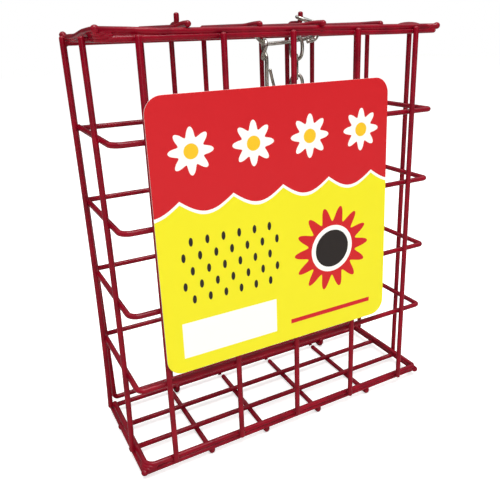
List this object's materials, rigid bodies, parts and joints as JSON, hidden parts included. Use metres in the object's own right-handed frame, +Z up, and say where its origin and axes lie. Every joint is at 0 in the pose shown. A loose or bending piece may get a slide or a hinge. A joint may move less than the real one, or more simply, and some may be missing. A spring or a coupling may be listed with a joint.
{
  "type": "wire treat cage",
  "caption": "Flat upright wire basket with a hinged rear door, two arched latch wires, a hanging chain with a snap hook, and a card on its front.",
  "frame": {"origin": "on the table below the middle of the whole object", "axes": "+Z up, -Y the front with the card, +X to the right seen from the front"},
  "size_m": [0.1806, 0.0764, 0.219],
  "materials": {
    "coated_wire": "glossy cherry red coating",
    "card": "glossy printed card, red over yellow",
    "zinc_steel": "bright zinc plating"
  },
  "bodies": {
    "basket": {"wrap_1": "coated_wire", "wrap_2": "coated_wire", "wrap_3": "coated_wire", "wrap_4": "coated_wire", "wrap_5": "coated_wire", "wrap_6": "coated_wire", "front_upright_1": "coated_wire", "front_upright_2": "coated_wire", "front_upright_3": "coated_wire", "front_upright_4": "coated_wire", "front_upright_5": "coated_wire", "side_upright_left": "coated_wire", "side_upright_right": "coated_wire", "rear_upright_left": "coated_wire", "rear_upright_right": "coated_wire", "floor_cross_1": "coated_wire", "floor_cross_2": "coated_wire", "floor_cross_3": "coated_wire", "floor_cross_4": "coated_wire", "floor_bar_1": "coated_wire", "floor_bar_2": "coated_wire", "floor_bar_3": "coated_wire", "floor_bar_4": "coated_wire", "lid_cross_1": "coated_wire", "lid_cross_2": "coated_wire", "lid_cross_3": "coated_wire", "lid_cross_4": "coated_wire", "lid_bar_1": "coated_wire", "lid_bar_2": "coated_wire", "lid_bar_3": "coated_wire", "lid_bar_4": "coated_wire", "floor_edge_left": "coated_wire", "floor_edge_right": "coated_wire", "lid_edge_left": "coated_wire", "lid_edge_right": "coated_wire", "label_card": "card"},
    "door": {"door_frame": "coated_wire", "door_upright_1": "coated_wire", "door_upright_2": "coated_wire", "door_upright_3": "coated_wire", "door_upright_4": "coated_wire", "door_cross_1": "coated_wire", "door_cross_2": "coated_wire", "door_cross_3": "coated_wire", "door_cross_4": "coated_wire", "door_latch_1": "coated_wire", "door_latch_2": "coated_wire"},
    "clip": {"wire_clip": "zinc_steel"},
    "link_1": {"chain_link_1": "zinc_steel"},
    "link_2": {"chain_link_2": "zinc_steel"},
    "link_3": {"chain_link_3": "zinc_steel"},
    "link_4": {"chain_link_4": "zinc_steel"},
    "link_5": {"chain_link_5": "zinc_steel"},
    "link_6": {"chain_link_6": "zinc_steel"},
    "snap": {"snap_body": "zinc_steel"},
    "gate": {"snap_gate": "zinc_steel"},
    "snap_ring_1": {"snap_link_1": "zinc_steel"},
    "snap_ring_2": {"snap_link_2": "zinc_steel"},
    "latch_ring": {"prong_link": "zinc_steel"}
  },
  "joints": [
    {"name": "door_swing", "type": "hinge", "parent": "basket", "child": "door", "pos_m": [0, 0.02867, 0.0043], "axis": [-1, 0, 0], "range_deg": [0, 100]},
    {"name": "clip_swing", "type": "hinge", "parent": "basket", "child": "clip", "pos_m": [0, 0.02867, 0.21045], "axis": [1, 0, 0], "range_deg": [-30, 0.5]},
    {"name": "chain_swing_1", "type": "hinge", "parent": "clip", "child": "link_1", "pos_m": [0.0406, 0.02867, 0.20287], "axis": [1, 0, 0], "range_deg": [-25, 0.5]},
    {"name": "chain_swing_2", "type": "hinge", "parent": "link_1", "child": "link_2", "pos_m": [0.0406, 0.02867, 0.19217], "axis": [0.4863, -0.8738, 0], "range_deg": [-4, 0]},
    {"name": "chain_swing_3", "type": "hinge", "parent": "link_2", "child": "link_3", "pos_m": [0.0406, 0.02867, 0.18147], "axis": [0.8738, 0.4863, 0], "range_deg": [-20, 0]},
    {"name": "chain_swing_4", "type": "hinge", "parent": "link_3", "child": "link_4", "pos_m": [0.0406, 0.02867, 0.17077], "axis": [0.4863, -0.8738, 0], "range_deg": [-10, 0]},
    {"name": "chain_swing_5", "type": "hinge", "parent": "link_4", "child": "link_5", "pos_m": [0.0406, 0.02867, 0.16007], "axis": [0.8738, 0.4863, 0], "range_deg": [-20, 0]},
    {"name": "chain_swing_6", "type": "hinge", "parent": "link_5", "child": "link_6", "pos_m": [0.0406, 0.02867, 0.14937], "axis": [0.4863, -0.8738, 0], "range_deg": [-15, 5]},
    {"name": "snap_swing", "type": "hinge", "parent": "clip", "child": "snap", "pos_m": [0.02115, 0.02867, 0.20094], "axis": [1, 0, 0], "range_deg": [-45, 1]},
    {"name": "gate_pivot", "type": "hinge", "parent": "snap", "child": "gate", "pos_m": [0.02635, 0.02484, 0.16824], "axis": [0, 1, 0], "range_deg": [0, 30], "stiffness_Nm_per_rad": 0.004, "springref_deg": -17.19},
    {"name": "snap_ring_swing_1", "type": "hinge", "parent": "snap", "child": "snap_ring_1", "pos_m": [0.02375, 0.02867, 0.16044], "axis": [1, 0, 0], "range_deg": [-40, 4]},
    {"name": "snap_ring_swing_2", "type": "hinge", "parent": "snap_ring_1", "child": "snap_ring_2", "pos_m": [0.02375, 0.02867, 0.14984], "axis": [0, 1, 0], "range_deg": [-20, 20]},
    {"name": "latch_ring_swivel", "type": "hinge", "parent": "door", "child": "latch_ring", "pos_m": [0.03624, 0.01717, 0.2161], "axis": [0, 0, 1], "range_deg": [-90, 20]}
  ]
}
